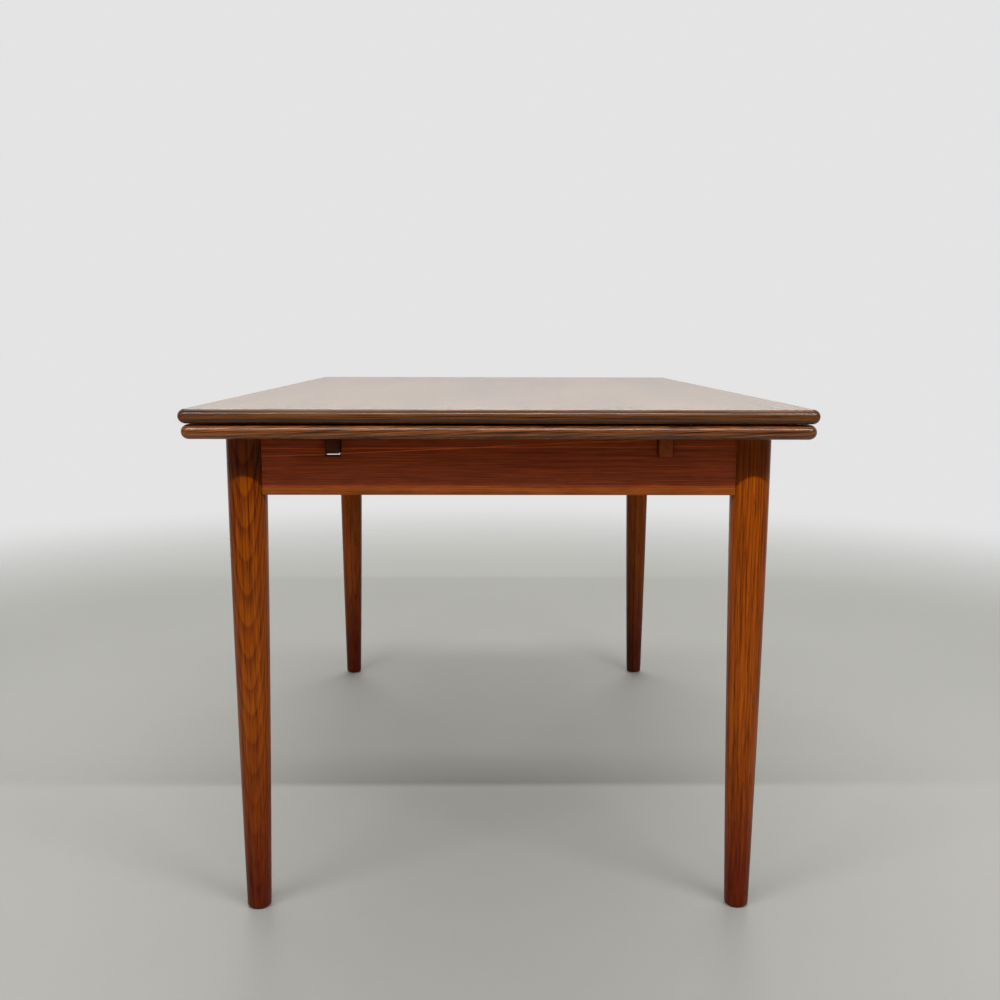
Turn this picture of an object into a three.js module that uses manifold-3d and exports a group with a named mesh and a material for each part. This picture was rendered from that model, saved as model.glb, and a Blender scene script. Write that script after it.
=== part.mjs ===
// Draw-leaf dining table in teak.
//
// A loose main top rests on a fixed centre board. Under it lie two draw leaves, one at each
// end. Each leaf is screwed to two wooden runners, which pass through open slots in its end
// apron and reach on past the centre board, so a leaf pulled out by its edge stays held.
//
// Millimetres, +Z up. The origin is on the floor under the middle of the table. X runs across
// the table and Y along it: the front end is at -Y and the left side is at -X.

import * as THREE from 'three';
import { mergeVertices, toCreasedNormals } from 'three/addons/utils/BufferGeometryUtils.js';
import Module from 'manifold-3d';

const wasm = await Module();
wasm.setup();

// ---- Driving dimensions -------------------------------------------------------------------

const TABLE_HEIGHT = 720;
const TOP_WIDTH = 840;
const TOP_LENGTH = 1320;
const BOARD_THICKNESS = 19.5; // main top, leaves and centre board alike
const BOARD_CORNER = 12; // plan radius of a board's corners
const EDGE_REACH = 10; // how far the rounded edge runs in from a board's side
const EDGE_RISE = 9.5; // and how far down from its face
const LIPPING_WIDTH = 14;
const TOP_GAP = 1; // open line between the main top and a leaf
const FIT_GAP = 0.3; // between neighbours that touch

const LEAF_SETBACK = 3; // leaf's outer edge and sides behind the main top's
const CENTRE_BOARD_LENGTH = 200;
const LEAF_END_GAP = 2; // between the centre board and a closed leaf
const PEG_LIFT = 30; // how far the main top can be raised

const LEG_X = 345; // legs' axes
const LEG_Y = 584;
const LEG_TOP_RADIUS = 27.2;
const LEG_FOOT_RADIUS = 16.9;
const LEG_TAPER_POWER = 1.5; // how the radius shrinks towards the foot
const FOOT_ROUND = 5;

const APRON_THICKNESS = 22;
const APRON_BOTTOM = 600;
const APRON_LIPPING_HEIGHT = 10.5;
const END_APRON_FACE = 600; // outer faces, from the middle of the table
const SIDE_APRON_FACE = 361;
const TENON_THICKNESS = 10;
const TENON_REACH = 8; // a tenon stops this far short of the leg's axis
const TENON_SHOULDER = 9; // apron left above and below a tenon

const RUNNER_WIDTH = 18;
const LEFT_RUNNER_DEPTH = 22.4; // these hang clear of their slots' floors
const RIGHT_RUNNER_DEPTH = 26; // and these almost ride on them
const RUNNER_FRONT = 611; // runner's outer end, from the middle of the table
const RUNNER_TAIL_LENGTH = 500; // its tail reaches this far past the middle
const TAIL_RELIEF = 1.5; // tail's top face below the attached part's
const FRONT_RUNNER_X = 225; // the two leaves' runners pass side by side
const REAR_RUNNER_X = 195;
const SLOT_CLEARANCE = 2; // each side of a runner
const SLOT_DEPTH = 27;

const RAIL_THICKNESS = 20;
const RAIL_Y = 85; // middle of a cross rail
const RAIL_BOTTOM = 619;
const RAIL_HOUSING = 6; // how far a rail's end enters the side apron
const GUIDE_NOTCH_SLACK = 0.7; // under a runner in the rail that stops it
const PASS_NOTCH_FLOOR = 636; // notch floor where the other leaf's stop pegs pass

const STOP_PEG_RADIUS = 5;
const STOP_PEG_LENGTH = 24;
const STOP_PEG_ENTRY = 9; // into the runner
const STOP_SLACK = 0.5; // left between peg and rail at full travel

const GUIDE_PEG_X = 140;
const GUIDE_PEG_RADIUS = 8;
const GUIDE_PEG_ENTRY = 10; // into the main top
const GUIDE_HOLE_CLEARANCE = 0.7;
const RETAINER_RADIUS = 17;
const RETAINER_THICKNESS = 4;
const PEG_END = 2; // peg showing below its retainer

const BLOCK_FAR = 96; // corner block, along an apron from the leg's axis
const BLOCK_NEAR = 60;
const BLOCK_BOTTOM = 620;
const BLOCK_TOP = 672;

const SCREW_SHANK = 2;
const SCREW_HEAD = 4;
const SCREW_HEAD_HEIGHT = 3;
const SCREW_POINT = 3;
const LEAF_SCREW_LENGTH = 28;
const LEAF_SCREW_ENTRY = 10.7; // into the leaf
const LEAF_SCREW_MOUTH = 10; // its hole's open stretch, which reaches out under the runner
const LEAF_SCREW_OUTER_Y = 570;
const LEAF_SCREW_INNER_Y = 150;
const BOARD_SCREW_LENGTH = 50;
const BOARD_SCREW_RECESS = 1.5;
const BOARD_SCREW_Y = 55;

// Facets.
const LEG_SEGMENTS = 28;
const LEG_STEPS = 9;
const FOOT_STEPS = 3;
const ROD_SEGMENTS = 20;
const SCREW_SEGMENTS = 10;
const CORNER_SEGMENTS = 4;
const EDGE_SEGMENTS = 5;
const MERGE_TOLERANCE = 1e-4;
const CREASE_ANGLE = Math.PI / 6;

// ---- Levels and places that follow ----------------------------------------------------------

const TOP_UNDERSIDE = TABLE_HEIGHT - BOARD_THICKNESS;
const LEAF_TOP = TOP_UNDERSIDE - TOP_GAP;
const LEAF_UNDERSIDE = LEAF_TOP - BOARD_THICKNESS;
const FRAME_TOP = LEAF_UNDERSIDE - FIT_GAP;
const APRON_JOIN = APRON_BOTTOM + APRON_LIPPING_HEIGHT;
const RUNNER_TOP = LEAF_UNDERSIDE - FIT_GAP;
const TENON_SPAN = [APRON_JOIN + TENON_SHOULDER, FRAME_TOP - TENON_SHOULDER];

const HALF_TOP_WIDTH = TOP_WIDTH / 2;
const HALF_TOP_LENGTH = TOP_LENGTH / 2;
const HALF_LEAF_WIDTH = HALF_TOP_WIDTH - LEAF_SETBACK;
const LEAF_OUTER = HALF_TOP_LENGTH - LEAF_SETBACK;
const LEAF_INNER = CENTRE_BOARD_LENGTH / 2 + LEAF_END_GAP;
const LEAF_TRAVEL = HALF_TOP_LENGTH - LEAF_INNER; // the leaf just clears the main top
const RAIL_INNER_FACE = RAIL_Y - RAIL_THICKNESS / 2;
const STOP_PEG_Y = LEAF_TRAVEL - RAIL_INNER_FACE + STOP_PEG_RADIUS + STOP_SLACK;
const END_APRON_MIDDLE = END_APRON_FACE - APRON_THICKNESS / 2;
const SIDE_APRON_MIDDLE = SIDE_APRON_FACE - APRON_THICKNESS / 2;
const SIDE_APRON_INNER = SIDE_APRON_FACE - APRON_THICKNESS;
const END_APRON_INNER = END_APRON_FACE - APRON_THICKNESS;
const RETAINER_TOP = LEAF_UNDERSIDE - PEG_LIFT - FIT_GAP;

// Signs of Y and X for the two ends and the two sides.
const ENDS = { front: -1, rear: 1 };
const SIDES = { left: -1, right: 1 };
const RUNNER_X = { front: FRONT_RUNNER_X, rear: REAR_RUNNER_X };

// ---- Materials ------------------------------------------------------------------------------

function finish(color, roughness, metalness = 0) {
  return () => new THREE.MeshStandardMaterial({ color, roughness, metalness });
}

const topVeneer = finish(0x9c7a5c, 0.4);
const teakLipping = finish(0x7a4a26, 0.4);
const legTeak = finish(0x96551f, 0.42);
const apronVeneer = finish(0x6e3014, 0.45);
const paleLipping = finish(0x8a4a18, 0.45);
const runnerBeech = finish(0x80552f, 0.6);
const hiddenBeech = finish(0xb08a5e, 0.7);
const screwSteel = finish(0xb4b4b0, 0.35, 1);

// ---- Solids ---------------------------------------------------------------------------------

// A closed three.js geometry as a solid: shared corners merged, collapsed facets left out.
function toSolid(geometry) {
  geometry.deleteAttribute('normal');
  geometry.deleteAttribute('uv');
  const merged = mergeVertices(geometry, MERGE_TOLERANCE);
  const corners = merged.index.array;
  const facets = [];
  for (let i = 0; i < corners.length; i += 3) {
    const [a, b, c] = [corners[i], corners[i + 1], corners[i + 2]];
    if (a !== b && b !== c && c !== a) facets.push(a, b, c);
  }
  return new wasm.Manifold(new wasm.Mesh({
    numProp: 3,
    vertProperties: merged.attributes.position.array,
    triVerts: Uint32Array.from(facets),
  }));
}

function toGeometry(solid) {
  const mesh = solid.getMesh();
  const geometry = new THREE.BufferGeometry();
  geometry.setAttribute('position', new THREE.BufferAttribute(mesh.vertProperties, mesh.numProp));
  geometry.setIndex(new THREE.BufferAttribute(mesh.triVerts, 1));
  return toCreasedNormals(geometry, CREASE_ANGLE);
}

function cut(solid, tools) {
  return tools.reduce((rest, tool) => rest.subtract(tool), solid);
}

// A block between two values on each axis, given in either order.
function block(xSpan, ySpan, zSpan) {
  const spans = [xSpan, ySpan, zSpan];
  const sizes = spans.map(([a, b]) => Math.abs(b - a));
  const middles = spans.map(([a, b]) => (a + b) / 2);
  return toSolid(new THREE.BoxGeometry(...sizes).translate(...middles));
}

// A plan outline raised between two heights.
function prism(outline, [bottom, top]) {
  const shape = new THREE.Shape(outline.map(([x, y]) => new THREE.Vector2(x, y)));
  const options = { depth: top - bottom, bevelEnabled: false };
  return toSolid(new THREE.ExtrudeGeometry(shape, options).translate(0, 0, bottom));
}

// A profile of [radius, height] points turned about a vertical axis; tip turns it upside down.
function turned(profile, segments, [x, y, z], tip = false) {
  const points = profile.map(([radius, height]) => new THREE.Vector2(radius, height));
  const geometry = new THREE.LatheGeometry(points, segments);
  geometry.rotateX(tip ? -Math.PI / 2 : Math.PI / 2);
  return toSolid(geometry.translate(x, y, z));
}

function rod(radius, [x, y], [bottom, top], segments = ROD_SEGMENTS) {
  const profile = [[0, bottom], [radius, bottom], [radius, top], [0, top]];
  return turned(profile, segments, [x, y, 0]);
}

// Adds one named piece to its group.
function piece(group, name, material, solid) {
  const mesh = new THREE.Mesh(toGeometry(solid), material());
  mesh.name = name;
  group.add(mesh);
}

// ---- Screws ---------------------------------------------------------------------------------

// The outline of a countersunk screw from the rim of its head to its point.
function screwOutline(length, grow) {
  return [
    [SCREW_HEAD + grow, 0],
    [SCREW_SHANK + grow, SCREW_HEAD_HEIGHT],
    [SCREW_SHANK + grow, length - SCREW_POINT + grow],
    [0, length + grow],
  ];
}

// A screw whose head's flat face is at the place given. It points up, or down when tipped.
function screw(length, place, tip = false) {
  return turned([[0, 0], ...screwOutline(length, 0)], SCREW_SEGMENTS, place, tip);
}

// The hole that the screw sits in, open for a stretch behind its head.
function screwHole(length, place, mouth, tip = false) {
  const profile = [[0, -mouth], [SCREW_HEAD + FIT_GAP, -mouth], ...screwOutline(length, FIT_GAP)];
  return turned(profile, SCREW_SEGMENTS, place, tip);
}

function leafScrewPlaces(end) {
  const places = {};
  for (const [side, sx] of Object.entries(SIDES)) {
    const x = sx * RUNNER_X[end];
    const z = LEAF_UNDERSIDE + LEAF_SCREW_ENTRY - LEAF_SCREW_LENGTH;
    places[`${side}_outer`] = [x, ENDS[end] * LEAF_SCREW_OUTER_Y, z];
    places[`${side}_inner`] = [x, ENDS[end] * LEAF_SCREW_INNER_Y, z];
  }
  return places;
}

function leafScrewHoles(end) {
  const places = Object.values(leafScrewPlaces(end));
  return places.map((place) => screwHole(LEAF_SCREW_LENGTH, place, LEAF_SCREW_MOUTH));
}

function boardScrewPlace(sx, sy) {
  const boardTop = TOP_UNDERSIDE - FIT_GAP;
  return [sx * SIDE_APRON_MIDDLE, sy * BOARD_SCREW_Y, boardTop - BOARD_SCREW_RECESS];
}

function boardScrewHoles(sides) {
  const mouth = 2 * BOARD_SCREW_RECESS;
  return sides.flatMap((sx) => Object.values(ENDS).map(
    (sy) => screwHole(BOARD_SCREW_LENGTH, boardScrewPlace(sx, sy), mouth, true),
  ));
}

// ---- Frame ----------------------------------------------------------------------------------

function legRadius(height) {
  const down = 1 - height / FRAME_TOP;
  return LEG_TOP_RADIUS - (LEG_TOP_RADIUS - LEG_FOOT_RADIUS) * down ** LEG_TAPER_POWER;
}

function legProfile() {
  const profile = [[0, 0]];
  const footFlat = legRadius(FOOT_ROUND) - FOOT_ROUND;
  for (let step = 0; step <= FOOT_STEPS; step += 1) {
    const angle = (step / FOOT_STEPS) * (Math.PI / 2);
    const radius = footFlat + FOOT_ROUND * Math.sin(angle);
    profile.push([radius, FOOT_ROUND * (1 - Math.cos(angle))]);
  }
  for (let step = 1; step <= LEG_STEPS; step += 1) {
    const height = FOOT_ROUND + ((FRAME_TOP - FOOT_ROUND) * step) / LEG_STEPS;
    profile.push([legRadius(height), height]);
  }
  profile.push([0, FRAME_TOP]);
  return profile;
}

// The tenon at one end of an end apron, or of a side apron, as long as it reaches into the leg.
function endApronTenon(sx, sy, grow = 0) {
  const half = TENON_THICKNESS / 2 + grow;
  const [low, high] = TENON_SPAN;
  return block(
    [sx * (LEG_X - 2 * LEG_TOP_RADIUS), sx * (LEG_X - TENON_REACH + grow)],
    [sy * END_APRON_MIDDLE - half, sy * END_APRON_MIDDLE + half],
    [low - grow, high + grow],
  );
}

function sideApronTenon(sx, sy, grow = 0) {
  const half = TENON_THICKNESS / 2 + grow;
  const [low, high] = TENON_SPAN;
  return block(
    [sx * SIDE_APRON_MIDDLE - half, sx * SIDE_APRON_MIDDLE + half],
    [sy * (LEG_Y - 2 * LEG_TOP_RADIUS), sy * (LEG_Y - TENON_REACH + grow)],
    [low - grow, high + grow],
  );
}

function leg(sx, sy) {
  const round = turned(legProfile(), LEG_SEGMENTS, [sx * LEG_X, sy * LEG_Y, 0]);
  return cut(round, [endApronTenon(sx, sy, FIT_GAP), sideApronTenon(sx, sy, FIT_GAP)]);
}

// The round scribe that an apron's end needs to meet a leg.
function legScribe(sx, sy) {
  const radius = LEG_TOP_RADIUS + FIT_GAP;
  const reach = [APRON_BOTTOM - FIT_GAP, FRAME_TOP + FIT_GAP];
  return rod(radius, [sx * LEG_X, sy * LEG_Y], reach, LEG_SEGMENTS);
}

function endApronBoard(sy, zSpan) {
  const board = block([-LEG_X, LEG_X], [sy * END_APRON_INNER, sy * END_APRON_FACE], zSpan);
  return cut(board, [legScribe(-1, sy), legScribe(1, sy)]);
}

function sideApronBoard(sx, zSpan) {
  const board = block([sx * SIDE_APRON_INNER, sx * SIDE_APRON_FACE], [-LEG_Y, LEG_Y], zSpan);
  return cut(board, [legScribe(sx, -1), legScribe(sx, 1)]);
}

function runnerUnderside(sx) {
  return RUNNER_TOP - (sx < 0 ? LEFT_RUNNER_DEPTH : RIGHT_RUNNER_DEPTH);
}

// An opening for a runner, from the floor given up through the frame's top.
function runnerSlot(end, sx, ySpan, slotFloor) {
  const half = RUNNER_WIDTH / 2 + SLOT_CLEARANCE;
  const x = sx * RUNNER_X[end];
  return block([x - half, x + half], ySpan, [slotFloor, FRAME_TOP + FIT_GAP]);
}

function endApron(end) {
  const sy = ENDS[end];
  const ySpan = [sy * (END_APRON_INNER - FIT_GAP), sy * (END_APRON_FACE + FIT_GAP)];
  const slotFloor = LEAF_UNDERSIDE - SLOT_DEPTH;
  const slots = Object.values(SIDES).map((sx) => runnerSlot(end, sx, ySpan, slotFloor));
  return cut(endApronBoard(sy, [APRON_JOIN, FRAME_TOP]), slots)
    .add(endApronTenon(-1, sy))
    .add(endApronTenon(1, sy));
}

function railHousing(sx, sy) {
  const half = RAIL_THICKNESS / 2 + FIT_GAP;
  return block(
    [sx * (SIDE_APRON_INNER - FIT_GAP), sx * (SIDE_APRON_INNER + RAIL_HOUSING + FIT_GAP)],
    [sy * RAIL_Y - half, sy * RAIL_Y + half],
    [RAIL_BOTTOM - FIT_GAP, FRAME_TOP + FIT_GAP],
  );
}

function sideApron(sx) {
  return cut(sideApronBoard(sx, [APRON_JOIN, FRAME_TOP]), [
    railHousing(sx, -1),
    railHousing(sx, 1),
    ...boardScrewHoles([sx]),
  ])
    .add(sideApronTenon(sx, -1))
    .add(sideApronTenon(sx, 1));
}

// A rail under the centre board. Its own leaf's runners lie in shallow notches, and it stops
// their pegs. The other leaf's runners pass with their pegs through deep notches.
function crossRail(end) {
  const sy = ENDS[end];
  const reach = SIDE_APRON_INNER + RAIL_HOUSING;
  const faces = [sy * (RAIL_Y - RAIL_THICKNESS / 2), sy * (RAIL_Y + RAIL_THICKNESS / 2)];
  const ySpan = [faces[0] - sy * FIT_GAP, faces[1] + sy * FIT_GAP];
  const notches = Object.keys(ENDS).flatMap((leafEnd) => Object.values(SIDES).map((sx) => {
    const guideFloor = runnerUnderside(sx) - GUIDE_NOTCH_SLACK;
    return runnerSlot(leafEnd, sx, ySpan, leafEnd === end ? guideFloor : PASS_NOTCH_FLOOR);
  }));
  return cut(block([-reach, reach], faces, [RAIL_BOTTOM, FRAME_TOP]), notches);
}

// A block glued across the corner behind a leg, from the end apron to the side apron.
function cornerBlock(sx, sy) {
  const x = SIDE_APRON_INNER - FIT_GAP;
  const y = END_APRON_INNER - FIT_GAP;
  const outline = [
    [sx * (LEG_X - BLOCK_FAR), sy * y],
    [sx * (LEG_X - BLOCK_NEAR), sy * y],
    [sx * x, sy * (LEG_Y - BLOCK_NEAR)],
    [sx * x, sy * (LEG_Y - BLOCK_FAR)],
  ];
  return prism(outline, [BLOCK_BOTTOM, BLOCK_TOP]);
}

function centreBoard() {
  const half = CENTRE_BOARD_LENGTH / 2;
  const board = block(
    [-HALF_LEAF_WIDTH, HALF_LEAF_WIDTH],
    [-half, half],
    [LEAF_UNDERSIDE, TOP_UNDERSIDE - FIT_GAP],
  );
  const reach = [LEAF_UNDERSIDE - FIT_GAP, TOP_UNDERSIDE];
  const pegHoles = Object.values(SIDES).map(
    (sx) => rod(GUIDE_PEG_RADIUS + GUIDE_HOLE_CLEARANCE, [sx * GUIDE_PEG_X, 0], reach),
  );
  return cut(board, [...pegHoles, ...boardScrewHoles(Object.values(SIDES))]);
}

// ---- Boards with lippings -------------------------------------------------------------------

// A board with rounded corners and rounded edges, between two values on X and on Y.
function roundedSlab([x0, x1], [y0, y1], top) {
  const left = x0 + EDGE_REACH;
  const right = x1 - EDGE_REACH;
  const front = y0 + EDGE_REACH;
  const rear = y1 - EDGE_REACH;
  const r = BOARD_CORNER - EDGE_REACH;
  const shape = new THREE.Shape();
  shape.absarc(right - r, rear - r, r, 0, Math.PI / 2);
  shape.absarc(left + r, rear - r, r, Math.PI / 2, Math.PI);
  shape.absarc(left + r, front + r, r, Math.PI, 1.5 * Math.PI);
  shape.absarc(right - r, front + r, r, 1.5 * Math.PI, 2 * Math.PI);
  const geometry = new THREE.ExtrudeGeometry(shape, {
    depth: BOARD_THICKNESS - 2 * EDGE_RISE,
    curveSegments: CORNER_SEGMENTS,
    bevelSize: EDGE_REACH,
    bevelThickness: EDGE_RISE,
    bevelSegments: EDGE_SEGMENTS,
  });
  return toSolid(geometry.translate(0, 0, top - BOARD_THICKNESS + EDGE_RISE));
}

// Plan outlines of the four lippings round a board, named by the side they lie on. They meet
// in mitres, except that a butted one, front or rear, ends square between its neighbours.
function lippingOutlines([x0, x1], [y0, y1], butted) {
  const w = LIPPING_WIDTH;
  const m = FIT_GAP; // lippings stand this far apart along a joint
  const front = butted === 'front' ? w : 0; // how far in from the corner a joint starts
  const rear = butted === 'rear' ? w : 0;
  const sideFront = y0 + w - front;
  const sideRear = y1 - w + rear;
  return {
    front: [[x0 + front + m, y0], [x1 - front - m, y0], [x1 - w - m, y0 + w], [x0 + w + m, y0 + w]],
    rear: [[x0 + rear + m, y1], [x1 - rear - m, y1], [x1 - w - m, y1 - w], [x0 + w + m, y1 - w]],
    left: [[x0, y0], [x0 + w, sideFront], [x0 + w, sideRear], [x0, y1]],
    right: [[x1, y0], [x1 - w, sideFront], [x1 - w, sideRear], [x1, y1]],
  };
}

// Adds a veneered panel and its four lippings, all cut from one rounded slab. The panel has
// the holes given. Names maps front, rear, left and right to the lippings' names.
function lippedBoard(group, { panelName, names, xSpan, ySpan, slab, top, holes, butted }) {
  const inset = LIPPING_WIDTH + FIT_GAP;
  const panel = block(
    [xSpan[0] + inset, xSpan[1] - inset],
    [ySpan[0] + inset, ySpan[1] - inset],
    [top - BOARD_THICKNESS, top],
  );
  piece(group, panelName, topVeneer, cut(panel, holes));
  const reach = [top - BOARD_THICKNESS - FIT_GAP, top + FIT_GAP];
  for (const [side, outline] of Object.entries(lippingOutlines(xSpan, ySpan, butted))) {
    piece(group, names[side], teakLipping, slab.intersect(prism(outline, reach)));
  }
}

// ---- Main top -------------------------------------------------------------------------------

function addMainTop(group) {
  const xSpan = [-HALF_TOP_WIDTH, HALF_TOP_WIDTH];
  const ySpan = [-HALF_TOP_LENGTH, HALF_TOP_LENGTH];
  const slab = roundedSlab(xSpan, ySpan, TABLE_HEIGHT);
  const names = {
    front: 'top_lipping_front',
    rear: 'top_lipping_rear',
    left: 'top_lipping_left',
    right: 'top_lipping_right',
  };
  const holes = Object.values(SIDES).map((sx) => rod(
    GUIDE_PEG_RADIUS + FIT_GAP,
    [sx * GUIDE_PEG_X, 0],
    [TOP_UNDERSIDE - FIT_GAP, TOP_UNDERSIDE + GUIDE_PEG_ENTRY + FIT_GAP],
  ));
  const panelName = 'top_panel';
  lippedBoard(group, { panelName, names, xSpan, ySpan, slab, top: TABLE_HEIGHT, holes });

  const retainerSpan = [RETAINER_TOP - RETAINER_THICKNESS, RETAINER_TOP];
  for (const [side, sx] of Object.entries(SIDES)) {
    const axis = [sx * GUIDE_PEG_X, 0];
    const pegSpan = [retainerSpan[0] - PEG_END, TOP_UNDERSIDE + GUIDE_PEG_ENTRY];
    const peg = rod(GUIDE_PEG_RADIUS, axis, pegSpan);
    const bore = rod(GUIDE_PEG_RADIUS + FIT_GAP, axis, pegSpan);
    piece(group, `guide_peg_${side}`, hiddenBeech, peg);
    const ring = rod(RETAINER_RADIUS, axis, retainerSpan).subtract(bore);
    piece(group, `peg_retainer_${side}`, hiddenBeech, ring);
  }
}

// ---- Draw leaves ----------------------------------------------------------------------------

// A leaf's outer edge and sides are rounded; its inner edge is cut square.
function leafSlab(sy) {
  const inner = sy * LEAF_INNER;
  const spare = sy * (LEAF_INNER - 2 * BOARD_CORNER);
  const ySpan = [spare, sy * LEAF_OUTER].sort((a, b) => a - b);
  const slab = roundedSlab([-HALF_LEAF_WIDTH, HALF_LEAF_WIDTH], ySpan, LEAF_TOP);
  const beyond = HALF_LEAF_WIDTH + FIT_GAP;
  const kept = block(
    [-beyond, beyond],
    [inner, sy * (LEAF_OUTER + FIT_GAP)],
    [LEAF_UNDERSIDE - FIT_GAP, LEAF_TOP + FIT_GAP],
  );
  return slab.intersect(kept);
}

function stopPegPlace(end, sx) {
  return [sx * RUNNER_X[end], -ENDS[end] * STOP_PEG_Y];
}

// A runner: the part screwed to the leaf, and a tail that runs clear under the other boards.
function runner(end, sx) {
  const sy = ENDS[end];
  const middle = sx * RUNNER_X[end];
  const xSpan = [middle - RUNNER_WIDTH / 2, middle + RUNNER_WIDTH / 2];
  const underside = runnerUnderside(sx);
  const attached = block(
    xSpan,
    [sy * RUNNER_FRONT, sy * LEAF_INNER],
    [underside, RUNNER_TOP],
  );
  const tail = block(
    xSpan,
    [sy * LEAF_INNER, -sy * RUNNER_TAIL_LENGTH],
    [underside, RUNNER_TOP - TAIL_RELIEF],
  );
  const pegSocket = rod(
    STOP_PEG_RADIUS + FIT_GAP,
    stopPegPlace(end, sx),
    [underside - FIT_GAP, underside + STOP_PEG_ENTRY + FIT_GAP],
  );
  return cut(attached.add(tail), [pegSocket, ...leafScrewHoles(end)]);
}

function stopPeg(end, sx) {
  const top = runnerUnderside(sx) + STOP_PEG_ENTRY;
  return rod(STOP_PEG_RADIUS, stopPegPlace(end, sx), [top - STOP_PEG_LENGTH, top]);
}

function addLeaf(group, end) {
  const sy = ENDS[end];
  const xSpan = [-HALF_LEAF_WIDTH, HALF_LEAF_WIDTH];
  const ySpan = [sy * LEAF_INNER, sy * LEAF_OUTER].sort((a, b) => a - b);
  const butted = end === 'front' ? 'rear' : 'front'; // the side towards the centre board
  const names = {
    [end]: `${end}_leaf_lipping_outer`,
    [butted]: `${end}_leaf_lipping_inner`,
    left: `${end}_leaf_lipping_left`,
    right: `${end}_leaf_lipping_right`,
  };
  const panelName = `${end}_leaf_panel`;
  const slab = leafSlab(sy);
  const holes = leafScrewHoles(end);
  lippedBoard(group, { panelName, names, xSpan, ySpan, slab, top: LEAF_TOP, holes, butted });
  for (const [side, sx] of Object.entries(SIDES)) {
    piece(group, `${end}_leaf_runner_${side}`, runnerBeech, runner(end, sx));
    piece(group, `${end}_leaf_stop_peg_${side}`, hiddenBeech, stopPeg(end, sx));
  }
  for (const [place, at] of Object.entries(leafScrewPlaces(end))) {
    piece(group, `${end}_leaf_screw_${place}`, screwSteel, screw(LEAF_SCREW_LENGTH, at));
  }
}

// ---- The table ------------------------------------------------------------------------------

function addFrame(group) {
  const lippingSpan = [APRON_BOTTOM, APRON_JOIN - FIT_GAP];
  for (const [end, sy] of Object.entries(ENDS)) {
    piece(group, `apron_${end}`, apronVeneer, endApron(end));
    piece(group, `apron_lipping_${end}`, paleLipping, endApronBoard(sy, lippingSpan));
    piece(group, `cross_rail_${end}`, hiddenBeech, crossRail(end));
  }
  for (const [side, sx] of Object.entries(SIDES)) {
    piece(group, `apron_${side}`, apronVeneer, sideApron(sx));
    piece(group, `apron_lipping_${side}`, paleLipping, sideApronBoard(sx, lippingSpan));
  }
  piece(group, 'centre_board', hiddenBeech, centreBoard());
  for (const [end, sy] of Object.entries(ENDS)) {
    for (const [side, sx] of Object.entries(SIDES)) {
      const corner = `${end}_${side}`;
      const boardScrew = screw(BOARD_SCREW_LENGTH, boardScrewPlace(sx, sy), true);
      piece(group, `leg_${corner}`, legTeak, leg(sx, sy));
      piece(group, `corner_block_${corner}`, hiddenBeech, cornerBlock(sx, sy));
      piece(group, `centre_board_screw_${corner}`, screwSteel, boardScrew);
    }
  }
}

const frame = new THREE.Group();
addFrame(frame);
const mainTop = new THREE.Group();
addMainTop(mainTop);
const frontLeaf = new THREE.Group();
addLeaf(frontLeaf, 'front');
const rearLeaf = new THREE.Group();
addLeaf(rearLeaf, 'rear');

const table = new THREE.Group();
table.add(frame, mainTop, frontLeaf, rearLeaf);

export default table;
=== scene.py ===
"""Looks of a draw-leaf dining table in teak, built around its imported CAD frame.

Metres, +Z up, in the CAD model's frame: X runs across the table and Y along it, and the front
end is at -Y. Every place and size of a piece comes from the CAD nodes' boxes. The named values
below are only those that the boxes can't give: edge roundings, the legs' taper, the finishes,
the lights and the camera.
"""

import math

import bmesh
import bpy
from mathutils import Matrix, Vector


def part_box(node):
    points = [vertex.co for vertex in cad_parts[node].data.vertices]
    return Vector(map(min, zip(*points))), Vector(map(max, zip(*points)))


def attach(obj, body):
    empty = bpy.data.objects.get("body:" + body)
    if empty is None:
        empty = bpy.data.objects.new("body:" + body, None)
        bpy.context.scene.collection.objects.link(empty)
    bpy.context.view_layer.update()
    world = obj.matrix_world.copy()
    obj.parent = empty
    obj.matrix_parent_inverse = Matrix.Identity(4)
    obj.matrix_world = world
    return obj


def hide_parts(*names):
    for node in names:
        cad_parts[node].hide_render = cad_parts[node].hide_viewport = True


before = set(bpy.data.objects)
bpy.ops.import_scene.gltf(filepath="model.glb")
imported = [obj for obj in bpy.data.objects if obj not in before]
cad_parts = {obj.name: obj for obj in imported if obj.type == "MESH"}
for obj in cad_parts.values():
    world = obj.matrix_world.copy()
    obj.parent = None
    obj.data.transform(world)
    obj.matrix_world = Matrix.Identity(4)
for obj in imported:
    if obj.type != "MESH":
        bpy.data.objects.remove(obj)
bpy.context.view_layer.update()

ENDS = ("front", "rear")
SIDES = ("left", "right")
LEAVES = tuple(f"{end}_leaf" for end in ENDS)
MM = 0.001

# ---- Shapes that the boxes can't give -------------------------------------------------------

FOOT_RADIUS = 16.9 * MM
LEG_TAPER_POWER = 1.5  # how the leg's radius shrinks towards the foot
FOOT_ROUND = 5 * MM
LEG_SEGMENTS = 72
LEG_RINGS = 60
FOOT_RINGS = 8

BOARD_CORNER = 12 * MM  # plan radius of a board's corners
EDGE_REACH = 10 * MM  # how far a rounded edge runs in from a board's side
EDGE_STEPS = 22
CORNER_STEPS = 7
LENGTH_STEPS = 40
SEAM = 0.10 * MM  # half of the fine groove where two pieces are glued together
PANEL_GROW = 0.15 * MM  # a panel reaches out past its CAD box to meet its lippings

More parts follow.
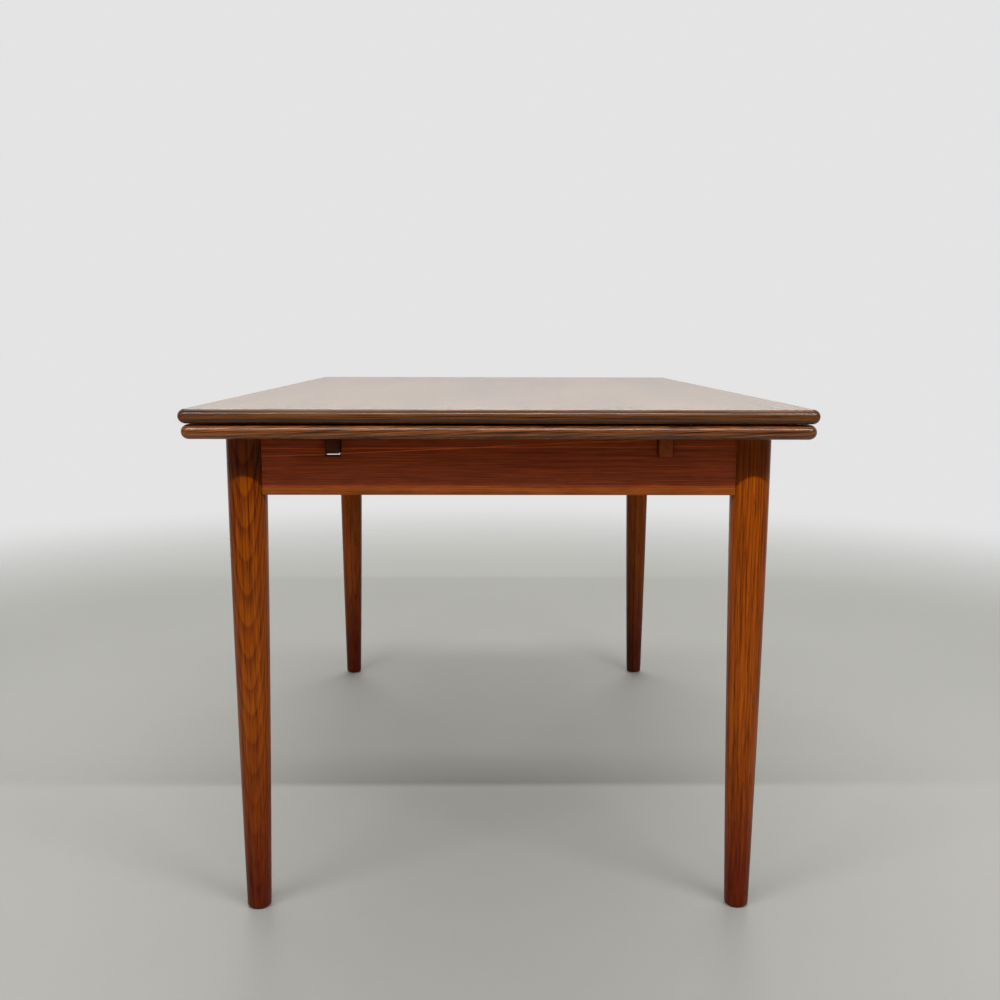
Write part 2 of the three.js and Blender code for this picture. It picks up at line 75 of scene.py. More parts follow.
# widths of the softened edges
ARRIS = 0.7 * MM  # of most sawn pieces
APRON_ARRIS = 0.3 * MM
EASED_WIDTH = 1.3 * MM  # at the ends of the end aprons, beside the legs
LEAF_SIDE_ARRIS = 0.3 * MM
SCREW_ARRIS = 0.1 * MM
BLOCK_ARRIS = 1.5 * MM
CENTRE_BOARD_ARRIS = 4 * MM
RETAINER_ARRIS = 0.4 * MM
STOP_PEG_ARRIS = 0.5 * MM
RUNNER_ARRIS = 1.0 * MM
WELD = 0.002 * MM

SMOOTH_BELOW = math.radians(35)  # edges blunter than this are shaded smooth
SHARP_ABOVE = math.radians(30)  # and edges sharper than this get softened
FLAT_WITHIN = math.radians(0.5)  # faces this close to one plane are joined

# ---- Camera ---------------------------------------------------------------------------------

CAMERA_PLACE = Vector((-0.0158, -2.1261, 0.8082))
CAMERA_LENS = 40.71  # mm on a 36 mm sensor
CAMERA_DOWN = math.radians(8.018)
CAMERA_RIGHT = math.radians(0.628)
CAMERA_ROLL = math.radians(0.13)


def make_camera():
    data = bpy.data.cameras.new("camera")
    data.lens = CAMERA_LENS
    camera = bpy.data.objects.new("camera", data)
    bpy.context.scene.collection.objects.link(camera)
    turn = (
        Matrix.Rotation(-CAMERA_RIGHT, 4, "Z")
        @ Matrix.Rotation(math.pi / 2 - CAMERA_DOWN, 4, "X")
        @ Matrix.Rotation(CAMERA_ROLL, 4, "Z")
    )
    camera.matrix_world = Matrix.Translation(CAMERA_PLACE) @ turn
    bpy.context.scene.camera = camera


# ---- Light and floor ------------------------------------------------------------------------

BACKGROUND = (0.77, 0.775, 0.77, 1)
ROOM = (0.15, 0.15, 0.15, 1)  # light from the room at large
WALL = (0.88, 0.885, 0.87, 1)  # light from a pale wall beyond the table, low down
CEILING = (0.36, 0.36, 0.36, 1)
FLOOR_COLOUR = (0.41, 0.407, 0.375, 1)
FLOOR_SIZE = 12.0
FLOOR_FADE = (1.5, 3.6)  # the floor fades into the background between these distances

LAMP_AIM = 0.5  # lamps lie along X and turn towards the table's middle at this height

# name, place, size across and along, power in watts
LAMPS = (
    ("front_left", (-1.8, -2.15, 2.63), (1.7, 0.07), 36),
    ("front_middle", (0.0, -2.15, 2.63), (1.6, 0.07), 24),
    ("front_right", (1.8, -2.15, 2.63), (1.7, 0.07), 42),
    ("overhead", (0.0, 0.3, 2.7), (2.4, 0.6), 20),
    ("rear", (0.0, 2.8, 2.6), (3.2, 0.5), 45),
)


def make_lamps():
    for name, place, size, power in LAMPS:
        data = bpy.data.lights.new(name, "AREA")
        data.shape = "RECTANGLE"
        data.size, data.size_y = size
        data.energy = power
        lamp = bpy.data.objects.new(name, data)
        bpy.context.scene.collection.objects.link(lamp)
        lamp.location = place
        lamp.rotation_euler = (math.atan2(-place[1], place[2] - LAMP_AIM), 0, 0)


def make_world():
    """A pale backdrop for the camera; for the lighting, a dim room with one pale wall beyond."""
    world = bpy.data.worlds.new("studio")
    bpy.context.scene.world = world
    paint = Shader(world)
    split = paint.add("ShaderNodeSeparateXYZ", {0: paint.add("ShaderNodeTexCoord").outputs["Generated"]})
    ahead, up = split.outputs["Y"], split.outputs["Z"]
    wall = paint.math("MULTIPLY", paint.span(ahead, 0.35, 0.8), paint.span(up, 0.75, 0.25))
    room = paint.mix(paint.span(up, 0.1, 0.8), ROOM, CEILING)
    lighting = paint.add("ShaderNodeBackground", {"Color": paint.mix(wall, room, WALL)})
    seen = paint.add("ShaderNodeBackground", {"Color": BACKGROUND})
    ray = paint.add("ShaderNodeLightPath").outputs["Is Camera Ray"]
    both = paint.add("ShaderNodeMixShader", {0: ray, 1: lighting.outputs[0], 2: seen.outputs[0]})
    paint.add("ShaderNodeOutputWorld", {"Surface": both.outputs[0]})


def make_floor():
    half = FLOOR_SIZE / 2
    corners = [(-half, -half, 0), (half, -half, 0), (half, half, 0), (-half, half, 0)]
    mesh = bpy.data.meshes.new("floor")
    mesh.from_pydata(corners, [], [(0, 1, 2, 3)])
    floor = bpy.data.objects.new("floor", mesh)
    bpy.context.scene.collection.objects.link(floor)
    paint = Shader(bpy.data.materials.new("floor"))
    place = paint.coordinates()
    distance = paint.vector("LENGTH", place)
    fade = paint.span(distance, FLOOR_FADE[0], FLOOR_FADE[1], interpolation_type="SMOOTHSTEP")
    mottle = paint.noise(place, 1.6, detail=5)
    speckle = paint.noise(place, 60, detail=3)
    shade = paint.math("MULTIPLY_ADD", mottle, 0.10, 0.93)
    shade = paint.math("MULTIPLY_ADD", speckle, 0.04, shade)
    bsdf = paint.principled(paint.scale(FLOOR_COLOUR, shade), roughness=0.62)
    clear = paint.add("ShaderNodeBsdfTransparent")
    mixed = paint.add("ShaderNodeMixShader", {0: fade, 1: bsdf, 2: clear.outputs[0]})
    paint.finish(mixed.outputs[0])
    floor.data.materials.append(paint.owner)


# ---- Shader building ------------------------------------------------------------------------


class Shader:
    """The nodes of a material or world, added one short call at a time."""

    def __init__(self, owner):
        self.owner = owner
        owner.use_nodes = True
        self.tree = owner.node_tree
        self.tree.nodes.clear()

    def add(self, kind, inputs=None, **settings):
        node = self.tree.nodes.new(kind)
        for key, value in settings.items():
            setattr(node, key, value)
        for key, value in (inputs or {}).items():
            if isinstance(value, bpy.types.NodeSocket):
                self.tree.links.new(value, node.inputs[key])
            else:
                node.inputs[key].default_value = value
        return node

    def coordinates(self):
        return self.add("ShaderNodeTexCoord").outputs["Object"]

    def math(self, operation, *values):
        return self.add("ShaderNodeMath", dict(enumerate(values)), operation=operation).outputs[0]

    def vector(self, operation, *values):
        node = self.add("ShaderNodeVectorMath", dict(enumerate(values)), operation=operation)
        return node.outputs["Value" if operation == "LENGTH" else "Vector"]

    def noise(self, place, scale, detail=2, roughness=0.5, distortion=0.0):
        inputs = {"Vector": place, "Scale": scale, "Detail": detail,
                  "Roughness": roughness, "Distortion": distortion}
        return self.add("ShaderNodeTexNoise", inputs).outputs["Fac"]

    def span(self, value, low, high, to_low=0.0, to_high=1.0, **settings):
        inputs = {"Value": value, "From Min": low, "From Max": high,
                  "To Min": to_low, "To Max": to_high}
        return self.add("ShaderNodeMapRange", inputs, **settings).outputs["Result"]

    def mix(self, share, first, second, blend="MIX"):
        node = self.add("ShaderNodeMix", data_type="RGBA", blend_type=blend)
        slots = [s for s in node.inputs if s.type == "RGBA"]
        for slot, value in [(node.inputs["Factor"], share), (slots[0], first), (slots[1], second)]:
            if isinstance(value, bpy.types.NodeSocket):
                self.tree.links.new(value, slot)
            else:
                slot.default_value = value
        return [s for s in node.outputs if s.type == "RGBA"][0]

    def scale(self, colour, share):
        grey = self.add("ShaderNodeCombineColor", {"Red": share, "Green": share, "Blue": share})
        return self.mix(1.0, colour, grey.outputs[0], "MULTIPLY")

    def bump(self, height, distance, strength=1.0, normal=None):
        inputs = {"Height": height, "Distance": distance, "Strength": strength}
        if normal is not None:
            inputs["Normal"] = normal
        return self.add("ShaderNodeBump", inputs).outputs[0]

    def principled(self, colour, roughness=0.5, normal=None, metallic=0.0, **others):
        inputs = {"Base Color": colour, "Roughness": roughness, "Metallic": metallic}
        if normal is not None:
            inputs["Normal"] = normal
        inputs.update(others)
        return self.add("ShaderNodeBsdfPrincipled", inputs).outputs[0]

    def finish(self, surface):
        self.add("ShaderNodeOutputMaterial", {"Surface": surface})
        return self.owner


# ---- Wood -----------------------------------------------------------------------------------

# Which of a place's X, Y and Z lie across the face, through the piece, and along the grain.
GRAIN_AXES = {"x": ("Y", "Z", "X"), "y": ("X", "Z", "Y"), "z": ("X", "Y", "Z")}

# How often each kind of figure repeats, per metre, across the grain and along it.
SWAY = (5, 2.2)
RIPPLE = (60, 12)
UNEVEN = (9, 1.2)
FIBRE = (950, 10)
STREAK = (230, 2.6)
PORE = (900, 26)
BROAD = (7, 1.0)
PATCH = (70, 20)
VEIN_FADE = (20, 9)

SHARE_SPAN = (0.15, 0.62)  # shares of the full darkening that count as light and as dark
RUBBED_POINTINESS = (0.515, 0.58)
FINE_RELIEF = 0.05 * MM
BROAD_RELIEF = 1.2 * MM
VEIN_WIDTH = 1.0 * MM
VEIN_SWAY = 6 * MM
# colour multiplied in where shade is painted on the legs
PAINTED_SHADE_TINT = (0.42, 0.22, 0.25, 1)
# Painted shade on the legs: darker close under the top, where the top's shadow falls, and towards the
# feet, where the light falls off. Start, full and strength of each stretch.
LEG_PAINTED_SHADE = ((0.62, 0.64, 0.45), (0.28, 0.03, 1.1))


def tinted(colour, factor, lift=0.0):
    """A colour made lighter or darker."""
    return [min(1, c * factor + lift) for c in colour[:3]] + [1]


def wood(name, grain, light, dark, *, pith=(0.02, -0.09), lean=0.02, rings=260, ring_depth=0.5,
         streaks=0.34, fibres=0.3, seed=0.0, wander=0.006, skew=0.0, gloss=0.3, specular=0.3,
         pore_depth=0.5, relief=0.6, wear=0.25, tone=0.25, painted_shade=(), veins=()):
    """Teak or beech cut from a log whose pith runs beside the piece, along the grain.

    pith is its place across and through, in metres. lean tips the log, which draws the growth
    rings out into arches on the face. rings are per metre. seed moves every noise elsewhere.
    skew slopes the grain. ring_depth, streaks, fibres and tone weigh the kinds of figure, and
    relief scales the bump and the unevenness of the gloss. The listed stretches of painted shade
    darken and redden the piece along its length: where each starts, where it is full, and how
    strong it is.
    veins are thin pale lines on a face: each one's place through the piece and its slope.
    """
    paint = Shader(bpy.data.materials.new(name))
    split = paint.add("ShaderNodeSeparateXYZ", {0: paint.coordinates()})
    across, level, along = (split.outputs[axis] for axis in GRAIN_AXES[grain])
    through = paint.math("MULTIPLY_ADD", along, -skew, level)

    def noise(scales, **settings):
        across_scale, along_scale = scales
        place = paint.add("ShaderNodeCombineXYZ", {
            "X": paint.math("MULTIPLY", across, across_scale),
            "Y": paint.math("MULTIPLY", through, across_scale),
            "Z": paint.math("MULTIPLY", paint.math("ADD", along, seed), along_scale),
        })
        return paint.noise(place.outputs[0], 1, **settings)

    # growth rings: a pale band that darkens slowly and ends in a thin dark line
    sway = paint.math("MULTIPLY_ADD", noise(SWAY, detail=3), 2, -1)
    ripple = paint.math("MULTIPLY_ADD", noise(RIPPLE), 2, -1)
    bent = paint.math("MULTIPLY_ADD", sway, wander, across)
    bent = paint.math("MULTIPLY_ADD", ripple, wander * 0.15, bent)
    side = paint.math("SUBTRACT", bent, pith[0])
    depth = paint.math("MULTIPLY_ADD", along, lean, paint.math("SUBTRACT", through, pith[1]))
    depth = paint.math("MULTIPLY_ADD", sway, wander * 0.8, depth)
    from_pith = paint.add("ShaderNodeCombineXYZ", {"X": side, "Y": depth}).outputs[0]
    phase = paint.math("FRACT", paint.math("MULTIPLY", paint.vector("LENGTH", from_pith), rings))
    late = paint.math("MULTIPLY", phase, paint.span(phase, 1.0, 0.86))
    late = paint.math("POWER", late, 1.6)
    late = paint.math("MULTIPLY", late, paint.span(noise(UNEVEN), 0.3, 0.7, 0.35, 1.0))

    # fibres and pores along the grain
    fibre = noise(FIBRE, detail=3, roughness=0.6)
    streak = noise(STREAK, detail=4, roughness=0.65)
    pore = paint.span(noise(PORE, detail=1), 0.60, 0.70)
    broad = noise(BROAD)

    share = paint.math("MULTIPLY", late, ring_depth)
    share = paint.math("MULTIPLY_ADD", paint.span(streak, 0.32, 0.70), streaks, share)
    share = paint.math("MULTIPLY_ADD", paint.span(fibre, 0.35, 0.68), fibres, share)
    share = paint.math("MULTIPLY_ADD", paint.span(broad, 0.3, 0.7, -0.5, 0.5), tone, share)
    total = ring_depth + streaks + fibres
    lightest, darkest = (part * total for part in SHARE_SPAN)
    colour = paint.mix(paint.span(share, lightest, darkest), light, dark)
    colour = paint.mix(paint.math("MULTIPLY", pore, pore_depth), colour, tinted(dark, 0.35))

    for height, slope in veins:
        line = paint.math("MULTIPLY_ADD", along, slope, paint.math("SUBTRACT", level, height))
        line = paint.math("ABSOLUTE", paint.math("MULTIPLY_ADD", sway, VEIN_SWAY, line))
        faint = paint.span(noise(VEIN_FADE), 0.3, 0.6, 0.25, 0.8)
        vein = paint.math("MULTIPLY", paint.span(line, VEIN_WIDTH, VEIN_WIDTH * 0.3), faint)
        colour = paint.mix(vein, colour, tinted(light, 2.2))

    # painted shade: each listed stretch is darkened and reddened along the piece
    for start, full, strength in painted_shade:
        reach = paint.math("MULTIPLY_ADD", sway, 0.3, paint.span(along, start, full))
        colour = paint.mix(paint.math("MULTIPLY", reach, strength), colour, PAINTED_SHADE_TINT, "MULTIPLY")

    # rubbed, paler convex edges
    pointiness = paint.add("ShaderNodeNewGeometry").outputs["Pointiness"]
    edge = paint.span(pointiness, *RUBBED_POINTINESS)
    patchy = paint.span(noise(PATCH, detail=3), 0.35, 0.7)
    rubbed = paint.math("MULTIPLY", paint.math("MULTIPLY", edge, patchy), wear)
    colour = paint.mix(rubbed, colour, tinted(light, 1.5, 0.02))

    uneven = paint.math("MULTIPLY_ADD", pore, 0.3, paint.math("MULTIPLY", streak, 0.15))
    roughness = paint.math("MULTIPLY_ADD", uneven, relief, gloss)
    height = paint.math("MULTIPLY_ADD", pore, -1.0, paint.math("MULTIPLY", fibre, 0.35))
    normal = paint.bump(height, FINE_RELIEF, relief)
    normal = paint.bump(broad, BROAD_RELIEF, 0.2 * relief, normal)
    inputs = {"Specular IOR Level": specular}
    return paint.finish(paint.principled(colour, roughness, normal, **inputs))


def top_veneer(name, seed):
    return wood(name, "y", (0.225, 0.118, 0.050, 1), (0.092, 0.043, 0.018, 1), pith=(0.02, -0.045),
                lean=0.03, rings=150, ring_depth=0.35, fibres=0.2, seed=seed, wander=0.014,
                gloss=0.25, specular=0.5, relief=0.1, pore_depth=0.25, wear=0.0)


def top_edge(name, grain, seed):
    return wood(name, grain, (0.20, 0.066, 0.012, 1), (0.014, 0.0035, 0.0015, 1), pith=(0.07, -0.03),
                lean=0.02, rings=200, ring_depth=0.35, streaks=0.5, fibres=0.6, seed=seed,
                wander=0.008, skew=0.01, gloss=0.17, specular=0.36, wear=0.3)


def leaf_edge(name, grain, seed):
    return wood(name, grain, (0.37, 0.115, 0.023, 1), (0.026, 0.0065, 0.0030, 1), pith=(0.05, -0.05),
                lean=0.05, rings=200, ring_depth=0.35, streaks=0.5, fibres=0.7, seed=seed,
                wander=0.01, skew=0.05, gloss=0.17, specular=0.4, wear=0.3)


def apron_veneer(name, grain, seed, veins=()):
    return wood(name, grain, (0.48, 0.077, 0.013, 1), (0.20, 0.029, 0.006, 1), pith=(-0.4, 0.55),
                lean=0.01, rings=260, ring_depth=0.3, streaks=0.4, fibres=0.7, seed=seed,
                wander=0.012, gloss=0.34, specular=0.18, wear=0.3, veins=veins)


def apron_lipping(name, grain, seed):
    return wood(name, grain, (0.32, 0.075, 0.006, 1), (0.14, 0.027, 0.003, 1), pith=(0.09, 0.02),
                lean=0.01, rings=240, ring_depth=0.3, fibres=0.4, seed=seed, gloss=0.34,
                specular=0.18, wear=0.3)


def leg_teak(name, pith, lean, seed, shade):
    # shade scales both colours, painted light and shade for this leg
    light = tinted((0.42, 0.088, 0.001), shade)
    dark = tinted((0.090, 0.010, 0.001), shade)
    return wood(name, "z", light, dark, pith=pith, lean=lean, rings=230, ring_depth=0.6,
                streaks=0.5, fibres=0.55, seed=seed, wander=0.009, gloss=0.26, specular=0.13,
                wear=0.2, painted_shade=LEG_PAINTED_SHADE)


def runner_wood(name, seed, shade):
    # shade scales both colours, partly painted light and shade
    light = tinted((0.28, 0.062, 0.013), shade)
    dark = tinted((0.13, 0.026, 0.006), shade)
    return wood(name, "y", light, dark, rings=500, ring_depth=0.35, seed=seed, gloss=0.55,
                specular=0.1, wear=0.3)


def hidden_beech(name, grain, seed):
    return wood(name, grain, (0.50, 0.31, 0.15, 1), (0.30, 0.165, 0.075, 1), rings=420,
                ring_depth=0.35, seed=seed, gloss=0.6, wear=0.15)


def screw_steel():
    paint = Shader(bpy.data.materials.new("screw_steel"))
    place = paint.coordinates()
    dull = paint.noise(place, 900, detail=4)
    stain = paint.span(paint.noise(place, 260, detail=3), 0.45, 0.7)
    colour = paint.mix(stain, (0.60, 0.60, 0.58, 1), (0.34, 0.31, 0.26, 1))
    roughness = paint.span(dull, 0.2, 0.8, 0.28, 0.5)
    normal = paint.bump(dull, 0.02 * MM, 0.5)
    return paint.finish(paint.principled(colour, roughness, normal, metallic=1.0))


# ---- Mesh building --------------------------------------------------------------------------


def piece(name, mesh, body, material, slot, *nodes):
    """Puts a finished mesh in the scene, in place of its CAD nodes, on its body."""
    thing = bpy.data.objects.new(name, mesh)
    bpy.context.scene.collection.objects.link(thing)
    mesh.materials.clear()
    mesh.materials.append(material)
    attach(thing, body)
    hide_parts(*nodes)
    return thing


def to_mesh(bm, name):
    """A bmesh as a closed, outward-facing mesh that is smooth except at its real edges."""
    bmesh.ops.remove_doubles(bm, verts=bm.verts, dist=WELD)
    bmesh.ops.dissolve_degenerate(bm, edges=bm.edges, dist=WELD)
    bmesh.ops.recalc_face_normals(bm, faces=bm.faces)
    for face in bm.faces:
        face.smooth = True
    for edge in bm.edges:
        edge.smooth = len(edge.link_faces) == 2 and edge.calc_face_angle(0) < SMOOTH_BELOW
    mesh = bpy.data.meshes.new(name)
    bm.to_mesh(mesh)
    bm.free()
    return mesh


def grid(bm, rows, closed):
    """Quads between rows of points. Closed rows join their last point to their first."""
    rings = [[bm.verts.new(point) for point in row] for row in rows]
    count = len(rings[0])
    for near, far in zip(rings, rings[1:]):
        for i in range(count if closed else count - 1):
            j = (i + 1) % count
            bm.faces.new((near[i], near[j], far[j], far[i]))
    return rings


def soften(bm, width, segments=2):
    """Rounds every real edge of a sawn piece by a hair."""
    sharp = [e for e in bm.edges if len(e.link_faces) == 2 and e.calc_face_angle(0) > SHARP_ABOVE]
    bmesh.ops.bevel(bm, geom=sharp, offset=width, segments=segments, profile=0.5,
                    affect="EDGES", clamp_overlap=True)


def refined(node, body, material, slot, width=ARRIS, eased=None):
    """A sawn piece: the CAD node's shape with its edges softened.

    eased picks edges that get a wider bevel first.
    """
    bm = bmesh.new()
    bm.from_mesh(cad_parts[node].data)
    bmesh.ops.remove_doubles(bm, verts=bm.verts, dist=WELD)
    bmesh.ops.dissolve_limit(bm, angle_limit=FLAT_WITHIN, verts=bm.verts, edges=bm.edges)
    if eased:
        edges = [edge for edge in bm.edges if eased(edge)]
        bmesh.ops.bevel(bm, geom=edges, offset=EASED_WIDTH, segments=2, profile=0.5, affect="EDGES")
    soften(bm, width)
    return piece(f"{node}_fine", to_mesh(bm, node), body, material, slot, node)


# ---- Legs -----------------------------------------------------------------------------------

# where each leg's log pith stood, from the leg's axis, across and along the table, and its lean
LEG_LOGS = ((0.0, 0.055, -0.09), (0.075, 0.02, 0.012), (0.03, -0.07, -0.05), (-0.02, 0.06, 0.02))
# painted light and shade: each leg's wood is drawn lighter or darker as it stands in light or shade, the
# front right lighter and the rear right darkest
LEG_PAINTED_LIGHT = (0.87, 1.08, 1.0, 0.66)
AXIS_SHARE = 0.02  # a leg's end faces keep a tiny ring about the axis
FOOT_SHARES = (AXIS_SHARE, 0.5, 0.85)  # rings of the foot's flat

def leg_outline(top_radius, height):
    """(radius, height) points from the middle of the foot to the middle of the leg's top."""

    def radius(z):
        return top_radius - (top_radius - FOOT_RADIUS) * (1 - z / height) ** LEG_TAPER_POWER

    flat = radius(FOOT_ROUND) - FOOT_ROUND
    points = [(flat * share, 0) for share in FOOT_SHARES]
    for step in range(FOOT_RINGS + 1):
        angle = math.pi / 2 * step / FOOT_RINGS
        points.append((flat + FOOT_ROUND * math.sin(angle), FOOT_ROUND * (1 - math.cos(angle))))
    for step in range(1, LEG_RINGS + 1):
        z = FOOT_ROUND + (height - FOOT_ROUND) * step / LEG_RINGS
        points.append((radius(z), z))
    points.append((top_radius * AXIS_SHARE, height))
    return points


def make_leg(end, side, index):
    node = f"leg_{end}_{side}"
    low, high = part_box(node)
    middle = (low + high) / 2
    top_radius = (high.y - low.y) / 2
    turns = [2 * math.pi * k / LEG_SEGMENTS for k in range(LEG_SEGMENTS)]
    rows = []
    for radius, z in leg_outline(top_radius, high.z):
        row = [(middle.x + radius * math.cos(t), middle.y + radius * math.sin(t), z) for t in turns]
        rows.append(row)
    bm = bmesh.new()
    rings = grid(bm, rows, closed=True)
    for ring in (rings[0], rings[-1]):
        bm.faces.new(ring)
    pith_x, pith_y, lean = LEG_LOGS[index]
    pith = (middle.x + pith_x, middle.y + pith_y)
    seed = 3.1 * (index + 1)
    material = leg_teak(node, pith, lean, seed, LEG_PAINTED_LIGHT[index])
    piece(f"{node}_turned", to_mesh(bm, node), "frame", material, "leg_teak", node)


def make_legs():
    corners = [(end, side) for end in ENDS for side in SIDES]
    for index, (end, side) in enumerate(corners):
        make_leg(end, side, index)


# ---- Boards ---------------------------------------------------------------------------------


def rounded_profile(low, high, width):
    """(inset, height) points round a lipping's section, from its inner top edge outward."""
    middle, half = (low + high) / 2, (high - low) / 2
    points = [(width, high), ((width + EDGE_REACH) / 2, high)]
    for step in range(EDGE_STEPS + 1):
        angle = math.pi * (0.5 - step / EDGE_STEPS)
        points.append((EDGE_REACH * (1 - math.cos(angle)), middle + half * math.sin(angle)))
    points += [((width + EDGE_REACH) / 2, low), (width, low)]
    return points


def corner_points(corner, inward, inset, start, stop):
    """Points round a plan corner at an inset, between two angles."""
    reach = max(BOARD_CORNER, inset)
    centre = (corner[0] + inward[0] * reach, corner[1] + inward[1] * reach)
    radius = reach - inset
    turns = [start + (stop - start) * k / CORNER_STEPS for k in range(CORNER_STEPS + 1)]
    return [(centre[0] + radius * math.cos(t), centre[1] + radius * math.sin(t)) for t in turns]


def lipping_path(length, inset):
    """Plan points along a lipping on the -Y side, from the corner at X zero to that at X length.

    Each end is half a rounded corner, up to the mitre.
    """
    points = corner_points((0, 0), (1, 1), inset, -0.75 * math.pi, -0.5 * math.pi)
    end = corner_points((length, 0), (-1, 1), inset, -0.5 * math.pi, -0.25 * math.pi)
    start_x, end_x = points[-1][0], end[0][0]
    for k in range(1, LENGTH_STEPS):
        points.append((start_x + (end_x - start_x) * k / LENGTH_STEPS, inset))
    return points + end


def lipping_mesh(name, outer, side, heights, width):
    """A lipping with a rounded outer edge, on one side of the outer rectangle given.

    outer is (low x, low y, high x, high y). The strip is drawn on the -Y side and turned.
    """
    x0, y0, x1, y1 = outer
    turns = {
        "front": (Vector((x0, y0)), Vector((1, 0)), Vector((0, 1)), x1 - x0),
        "right": (Vector((x1, y0)), Vector((0, 1)), Vector((-1, 0)), y1 - y0),
        "rear": (Vector((x1, y1)), Vector((-1, 0)), Vector((0, -1)), x1 - x0),
        "left": (Vector((x0, y1)), Vector((0, -1)), Vector((1, 0)), y1 - y0),
    }
    origin, run, inward, length = turns[side]
    bm = bmesh.new()
    rows = []
    for inset, z in rounded_profile(*heights, width):
        row = []
        for u, v in lipping_path(length, inset):
            plan = origin + run * u + inward * v
            row.append((plan.x, plan.y, z))
        rows.append(row)
    rings = grid(bm, rows + [rows[0]], closed=False)
    bmesh.ops.remove_doubles(bm, verts=bm.verts, dist=WELD)
    bmesh.ops.holes_fill(bm, edges=bm.edges)
    return to_mesh(bm, name)


def make_panel(name, node, body, material, slot):
    """A veneered panel that meets its lippings in a fine groove."""
    low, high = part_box(node)
    bm = bmesh.new()
    x0, x1 = low.x - PANEL_GROW, high.x + PANEL_GROW
    y0, y1 = low.y - PANEL_GROW, high.y + PANEL_GROW
    corners = [(x0, y0), (x1, y0), (x1, y1), (x0, y1)]
    rings = grid(bm, [[(x, y, z) for x, y in corners] for z in (low.z, high.z)], closed=True)
    for ring in rings:
        bm.faces.new(ring)
    soften(bm, SEAM, segments=1)
    piece(name, to_mesh(bm, name), body, material, slot, node)


def make_main_top():
    boxes = {side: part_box(f"top_lipping_{side}") for side in ENDS + SIDES}
    outer = (boxes["left"][0].x, boxes["front"][0].y, boxes["right"][1].x, boxes["rear"][1].y)
    low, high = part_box("top_panel")
    width = low.x - outer[0] - PANEL_GROW
    for index, side in enumerate(ENDS + SIDES):
        node = f"top_lipping_{side}"
        grain = "x" if side in ENDS else "y"
        mesh = lipping_mesh(node, outer, side, (low.z, high.z), width)
        material = top_edge(node, grain, seed=1.7 + index)
        piece(f"{node}_rounded", mesh, "main_top", material, "top_edge", node)
    make_panel("top_panel_veneered", "top_panel", "main_top", top_veneer("top_panel", 0.4), "top_veneer")


def make_leaf(leaf):
    end = leaf.split("_")[0]
    nodes = {side: f"{leaf}_lipping_{side}" for side in ("outer", "inner", "left", "right")}
    boxes = [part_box(node) for node in nodes.values()]
    low = Vector([min(box[0][k] for box in boxes) for k in range(3)])
    high = Vector([max(box[1][k] for box in boxes) for k in range(3)])
    outer = (low.x, low.y, high.x, high.y)
    panel_low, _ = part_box(f"{leaf}_panel")
    width = panel_low.x - low.x - PANEL_GROW
    heights = (low.z, high.z)
    mesh = lipping_mesh(nodes["outer"], outer, end, heights, width)
    material = leaf_edge(nodes["outer"], "x", seed=5.3 if end == "front" else 9.1)
    piece(f"{nodes['outer']}_rounded", mesh, leaf, material, "leaf_edge", nodes["outer"])
    for index, side in enumerate(SIDES):
        node = nodes[side]
        material = leaf_edge(node, "y", seed=2.3 + index)
        refined(node, leaf, material, "leaf_edge", LEAF_SIDE_ARRIS)
    refined(nodes["inner"], leaf, leaf_edge(nodes["inner"], "x", 4.4), "leaf_edge")
    veneer = top_veneer(f"{leaf}_panel", 1.9 if end == "front" else 6.2)
    make_panel(f"{leaf}_panel_veneered", f"{leaf}_panel", leaf, veneer, "top_veneer")


# ---- Frame, runners and hidden pieces -------------------------------------------------------

# height at the middle of the apron and slope of the thin pale lines in its veneer
APRON_VEINS = ((0.6675, -0.045), (0.6660, -0.005))
# how light or dark each runner's wood is drawn: on the front leaf, painted shade on the left runner and
# painted light on the right one; on the rear leaf, a tone that differs
RUNNER_TONES_AND_PAINTED_LIGHT = {
    "front_leaf_left": 0.35,
    "front_leaf_right": 1.3,
    "rear_leaf_left": 0.7,
    "rear_leaf_right": 0.9,
}
SLOT_MARGIN = 3.5 * MM  # edges this close to a runner belong to its slot, not to an apron's end


def outer_end_edges(node):
    """A test for the upright edges at the ends of an end apron's outer face."""
    low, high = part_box(node)
    face = max((low.y, high.y), key=abs)
    runners = [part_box(f"front_leaf_runner_{side}") for side in SIDES]
    slots_end = max(abs(corner.x) for box in runners for corner in box) + SLOT_MARGIN

    def test(edge):
        points = [vert.co for vert in edge.verts]
        upright = abs(points[0].z - points[1].z) > 0.9 * edge.calc_length()
        return upright and all(abs(p.y - face) < WELD and abs(p.x) > slots_end for p in points)

    return test


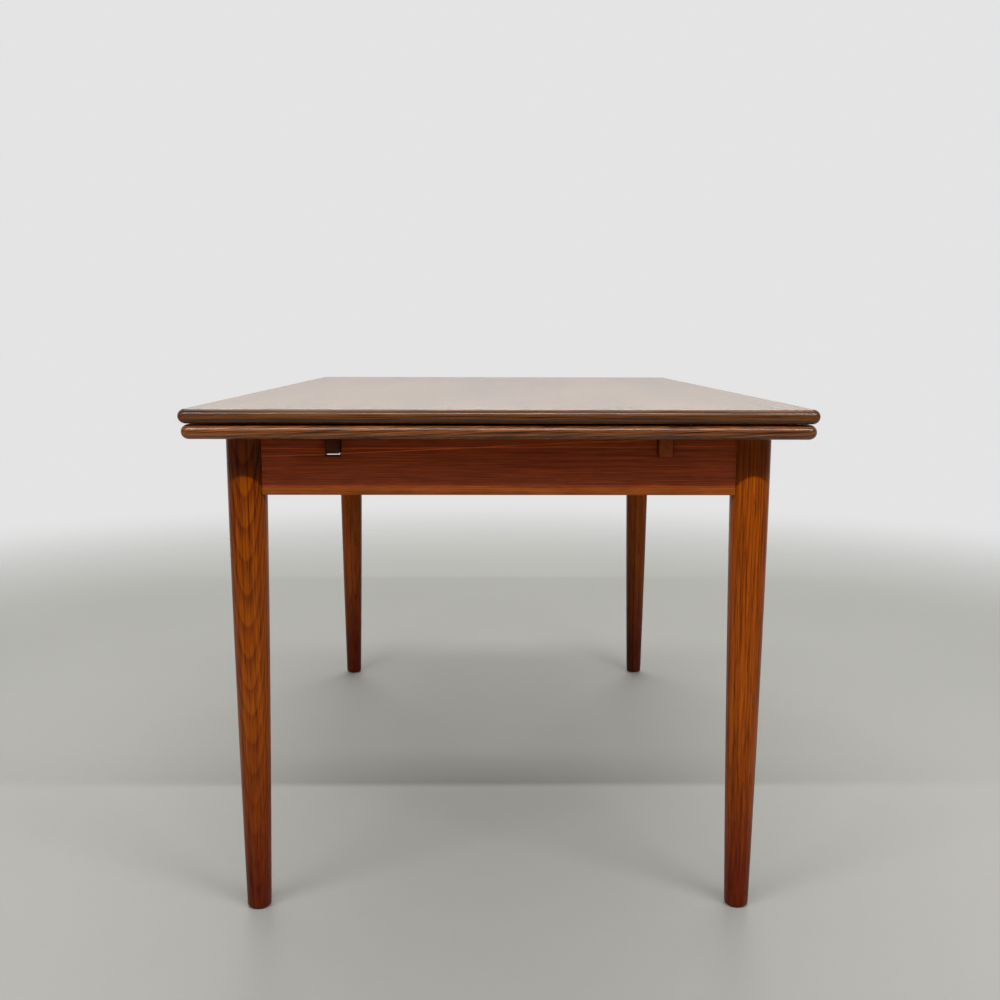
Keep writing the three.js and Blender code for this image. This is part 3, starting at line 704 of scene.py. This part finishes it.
def make_aprons():
    for index, end in enumerate(ENDS):
        apron, lipping = f"apron_{end}", f"apron_lipping_{end}"
        test = outer_end_edges(lipping)
        material = apron_veneer(apron, "x", 2.0 + index, veins=APRON_VEINS)
        refined(apron, "frame", material, "apron_veneer", APRON_ARRIS, test)
        material = apron_lipping(lipping, "x", 1.0 + index)
        refined(lipping, "frame", material, "apron_lipping", APRON_ARRIS, test)
    for index, side in enumerate(SIDES):
        apron, lipping = f"apron_{side}", f"apron_lipping_{side}"
        material = apron_veneer(apron, "y", 4.0 + index)
        refined(apron, "frame", material, "apron_veneer", APRON_ARRIS)
        material = apron_lipping(lipping, "y", 7.0 + index)
        refined(lipping, "frame", material, "apron_lipping", APRON_ARRIS)


def make_frame_inside(steel):
    """The centre board with its rails and screws, and the corner blocks."""
    board = leaf_edge("centre_board", "y", 3.3)
    refined("centre_board", "frame", board, "hidden_beech", CENTRE_BOARD_ARRIS)
    blocks = hidden_beech("corner_blocks", "x", 0.7)
    for index, end in enumerate(ENDS):
        rail = f"cross_rail_{end}"
        refined(rail, "frame", hidden_beech(rail, "x", index), "hidden_beech")
        for side in SIDES:
            refined(f"corner_block_{end}_{side}", "frame", blocks, "hidden_beech", BLOCK_ARRIS)
            screw = f"centre_board_screw_{end}_{side}"
            refined(screw, "frame", steel, "screw_steel", SCREW_ARRIS)


def make_pegs_and_runners(steel):
    """What hangs under the main top and the leaves."""
    dowels = hidden_beech("dowels", "z", 2.2)
    for side in SIDES:
        refined(f"guide_peg_{side}", "main_top", dowels, "hidden_beech")
        retainer = f"peg_retainer_{side}"
        refined(retainer, "main_top", dowels, "hidden_beech", RETAINER_ARRIS)
    for leaf in LEAVES:
        for index, side in enumerate(SIDES):
            node = f"{leaf}_runner_{side}"
            material = runner_wood(node, 1.3 * index, RUNNER_TONES_AND_PAINTED_LIGHT[f"{leaf}_{side}"])
            refined(node, leaf, material, "runner_wood", RUNNER_ARRIS)
            peg = f"{leaf}_stop_peg_{side}"
            refined(peg, leaf, dowels, "hidden_beech", STOP_PEG_ARRIS)
            for place in ("outer", "inner"):
                screw = f"{leaf}_screw_{side}_{place}"
                refined(screw, leaf, steel, "screw_steel", SCREW_ARRIS)


# ---- The scene ------------------------------------------------------------------------------


bpy.context.scene.view_settings.view_transform = "Standard"
make_camera()
make_world()
make_lamps()
make_floor()
make_legs()
make_main_top()
for leaf in LEAVES:
    make_leaf(leaf)
make_aprons()
steel = screw_steel()
make_frame_inside(steel)
make_pegs_and_runners(steel)
